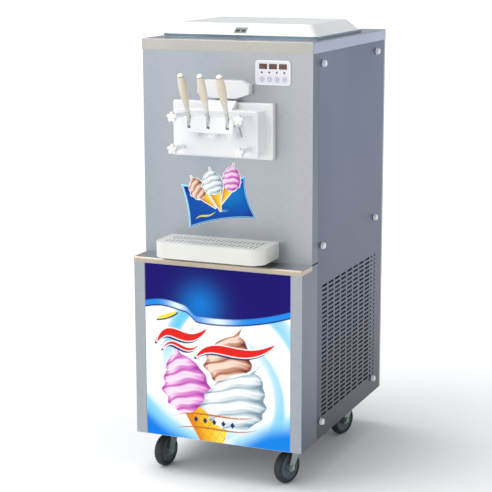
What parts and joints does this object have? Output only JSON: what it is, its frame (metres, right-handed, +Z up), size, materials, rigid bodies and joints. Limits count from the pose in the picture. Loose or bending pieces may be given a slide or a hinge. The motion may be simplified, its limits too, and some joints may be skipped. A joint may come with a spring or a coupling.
{
  "type": "ice cream maker",
  "caption": "Floor-standing soft-serve ice cream maker: steel cabinet on casters, white dispensing head with lever handles, drip tray, control panel and hopper lid.",
  "frame": {"origin": "on the floor, under the middle of the bounding box", "axes": "+Z up, -Y out of the front where the operator stands, +X to the right as the operator faces the machine"},
  "size_m": [0.564, 0.8516, 1.363],
  "materials": {
    "stainless_sheet": "brushed along the panel",
    "galvanised_steel": "dull zinc",
    "zinc_fork": "bright zinc plate",
    "printed_panel": "glossy printed front",
    "white_plastic": "smooth moulded white",
    "ivory_grip": "satin ivory",
    "polished_steel": "polished",
    "stainless_tub": "satin",
    "black_enamel": "satin black",
    "motor_paint": "satin grey",
    "aluminium_fins": "bare",
    "fan_plastic": "matt",
    "label_plastic": "satin",
    "display_plastic": "smoked",
    "button_plastic": "satin",
    "seal_rubber": "soft",
    "wheel_rubber": "solid tyre on a plastic core",
    "grommet": "matt"
  },
  "bodies": {
    "cabinet": {"base_pan": "galvanised_steel", "inner_frame": "galvanised_steel", "front_panel": "stainless_sheet", "corner_strips": "stainless_sheet", "lower_front_panel": "printed_panel", "ledge_top": "stainless_sheet", "side_panel_left": "stainless_sheet", "side_panel_right": "stainless_sheet", "rear_panel": "stainless_sheet", "cord_inlet": "grommet", "top_cover": "stainless_sheet", "panel_knobs": "white_plastic", "mix_hoppers": "stainless_tub", "feed_tubes": "white_plastic", "freezing_cylinders": "stainless_tub", "beater_gearmotors": "motor_paint", "compressor": "black_enamel", "condenser_unit": "aluminium_fins", "control_box": "galvanised_steel", "control_bezel": "label_plastic", "display_windows": "display_plastic", "head_plate": "white_plastic", "freezer_door": "white_plastic", "door_gaskets": "seal_rubber", "star_nozzles": "white_plastic", "handle_pin": "polished_steel", "door_studs": "polished_steel", "head_hood": "white_plastic", "caster_plates": "zinc_fork"},
    "lid": {"hopper_lid": "white_plastic"},
    "drip_tray": {"drip_tray": "white_plastic"},
    "drip_grid": {"drip_grid": "white_plastic"},
    "fan": {"condenser_fan": "fan_plastic"},
    "beater_left": {"beater_left": "white_plastic"},
    "beater_right": {"beater_right": "white_plastic"},
    "handle_left": {"handle_lever_left": "polished_steel", "handle_grip_left": "ivory_grip"},
    "plunger_left": {"valve_plunger_left": "white_plastic"},
    "handle_middle": {"handle_lever_middle": "polished_steel", "handle_grip_middle": "ivory_grip"},
    "plunger_middle": {"valve_plunger_middle": "white_plastic"},
    "handle_right": {"handle_lever_right": "polished_steel", "handle_grip_right": "ivory_grip"},
    "plunger_right": {"valve_plunger_right": "white_plastic"},
    "star_knob_lower_left": {"star_knob_lower_left": "white_plastic"},
    "star_knob_upper_left": {"star_knob_upper_left": "white_plastic"},
    "star_knob_lower_right": {"star_knob_lower_right": "white_plastic"},
    "star_knob_upper_right": {"star_knob_upper_right": "white_plastic"},
    "button_1": {"button_1": "button_plastic"},
    "button_2": {"button_2": "button_plastic"},
    "button_3": {"button_3": "button_plastic"},
    "button_4": {"button_4": "button_plastic"},
    "caster_front_left": {"caster_fork_front_left": "zinc_fork"},
    "wheel_front_left": {"caster_wheel_front_left": "wheel_rubber"},
    "caster_front_right": {"caster_fork_front_right": "zinc_fork"},
    "wheel_front_right": {"caster_wheel_front_right": "wheel_rubber"},
    "caster_back_left": {"caster_fork_back_left": "zinc_fork"},
    "wheel_back_left": {"caster_wheel_back_left": "wheel_rubber"},
    "caster_back_right": {"caster_fork_back_right": "zinc_fork"},
    "wheel_back_right": {"caster_wheel_back_right": "wheel_rubber"}
  },
  "joints": [
    {"name": "lid_lift", "type": "slide", "parent": "cabinet", "child": "lid", "axis": [0, 0, 1], "range_m": [0, 0.2]},
    {"name": "drip_tray_pull", "type": "slide", "parent": "cabinet", "child": "drip_tray", "axis": [0, -1, 0], "range_m": [0, 0.15]},
    {"name": "drip_grid_lift", "type": "slide", "parent": "drip_tray", "child": "drip_grid", "axis": [0, 0, 1], "range_m": [0, 0.08]},
    {"name": "fan_spin", "type": "hinge", "parent": "cabinet", "child": "fan", "pos_m": [0.16, 0.0708, 0.358], "axis": [1, 0, 0], "continuous": true},
    {"name": "beater_left_spin", "type": "hinge", "parent": "cabinet", "child": "beater_left", "pos_m": [-0.062, -0.0342, 1.063], "axis": [0, 1, 0], "continuous": true},
    {"name": "beater_right_spin", "type": "hinge", "parent": "cabinet", "child": "beater_right", "pos_m": [0.062, -0.0342, 1.063], "axis": [0, 1, 0], "continuous": true},
    {"name": "handle_left_pull", "type": "hinge", "parent": "cabinet", "child": "handle_left", "pos_m": [-0.06, -0.3542, 1.088], "axis": [1, 0, 0], "range_deg": [0, 55]},
    {"name": "plunger_left_lift", "type": "slide", "parent": "cabinet", "child": "plunger_left", "axis": [0, 0, 1], "range_m": [0, 0.02217]},
    {"name": "handle_middle_pull", "type": "hinge", "parent": "cabinet", "child": "handle_middle", "pos_m": [0, -0.3542, 1.088], "axis": [1, 0, 0], "range_deg": [0, 55]},
    {"name": "plunger_middle_lift", "type": "slide", "parent": "cabinet", "child": "plunger_middle", "axis": [0, 0, 1], "range_m": [0, 0.02217]},
    {"name": "handle_right_pull", "type": "hinge", "parent": "cabinet", "child": "handle_right", "pos_m": [0.06, -0.3542, 1.088], "axis": [1, 0, 0], "range_deg": [0, 55]},
    {"name": "plunger_right_lift", "type": "slide", "parent": "cabinet", "child": "plunger_right", "axis": [0, 0, 1], "range_m": [0, 0.02217]},
    {"name": "star_knob_lower_left_turn", "type": "hinge", "parent": "cabinet", "child": "star_knob_lower_left", "pos_m": [-0.104, -0.3542, 1.018], "axis": [0, -1, 0], "continuous": true},
    {"name": "star_knob_upper_left_turn", "type": "hinge", "parent": "cabinet", "child": "star_knob_upper_left", "pos_m": [-0.104, -0.3542, 1.111], "axis": [0, -1, 0], "continuous": true},
    {"name": "star_knob_lower_right_turn", "type": "hinge", "parent": "cabinet", "child": "star_knob_lower_right", "pos_m": [0.104, -0.3542, 1.018], "axis": [0, -1, 0], "continuous": true},
    {"name": "star_knob_upper_right_turn", "type": "hinge", "parent": "cabinet", "child": "star_knob_upper_right", "pos_m": [0.104, -0.3542, 1.111], "axis": [0, -1, 0], "continuous": true},
    {"name": "button_1_press", "type": "slide", "parent": "cabinet", "child": "button_1", "axis": [0, 1, 0], "range_m": [0, 0.0015], "stiffness_N_per_m": 400, "springref_m": -0.001},
    {"name": "button_2_press", "type": "slide", "parent": "cabinet", "child": "button_2", "axis": [0, 1, 0], "range_m": [0, 0.0015], "stiffness_N_per_m": 400, "springref_m": -0.001},
    {"name": "button_3_press", "type": "slide", "parent": "cabinet", "child": "button_3", "axis": [0, 1, 0], "range_m": [0, 0.0015], "stiffness_N_per_m": 400, "springref_m": -0.001},
    {"name": "button_4_press", "type": "slide", "parent": "cabinet", "child": "button_4", "axis": [0, 1, 0], "range_m": [0, 0.0015], "stiffness_N_per_m": 400, "springref_m": -0.001},
    {"name": "caster_front_left_swivel", "type": "hinge", "parent": "cabinet", "child": "caster_front_left", "pos_m": [-0.205, -0.1992, 0.11], "axis": [0, 0, 1], "continuous": true},
    {"name": "wheel_front_left_roll", "type": "hinge", "parent": "caster_front_left", "child": "wheel_front_left", "pos_m": [-0.21029, -0.23683, 0.05], "axis": [0.9903, -0.1392, 0], "continuous": true},
    {"name": "caster_front_right_swivel", "type": "hinge", "parent": "cabinet", "child": "caster_front_right", "pos_m": [0.205, -0.1992, 0.11], "axis": [0, 0, 1], "continuous": true},
    {"name": "wheel_front_right_roll", "type": "hinge", "parent": "caster_front_right", "child": "wheel_front_right", "pos_m": [0.19326, -0.23534, 0.05], "axis": [0.9511, -0.309, 0], "continuous": true},
    {"name": "caster_back_left_swivel", "type": "hinge", "parent": "cabinet", "child": "caster_back_left", "pos_m": [-0.205, 0.2938, 0.11], "axis": [0, 0, 1], "continuous": true},
    {"name": "wheel_back_left_roll", "type": "hinge", "parent": "caster_back_left", "child": "wheel_back_left", "pos_m": [-0.2129, 0.25663, 0.05], "axis": [0.9781, -0.2079, 0], "continuous": true},
    {"name": "caster_back_right_swivel", "type": "hinge", "parent": "cabinet", "child": "caster_back_right", "pos_m": [0.205, 0.2938, 0.11], "axis": [0, 0, 1], "continuous": true},
    {"name": "wheel_back_right_roll", "type": "hinge", "parent": "caster_back_right", "child": "wheel_back_right", "pos_m": [0.19326, 0.25766, 0.05], "axis": [0.9511, -0.309, 0], "continuous": true}
  ],
  "couplings": [
    {"joint": "plunger_left_lift", "follows": "handle_left_pull", "m_per_rad": 0.023089},
    {"joint": "plunger_middle_lift", "follows": "handle_middle_pull", "m_per_rad": 0.023089},
    {"joint": "plunger_right_lift", "follows": "handle_right_pull", "m_per_rad": 0.023089}
  ]
}
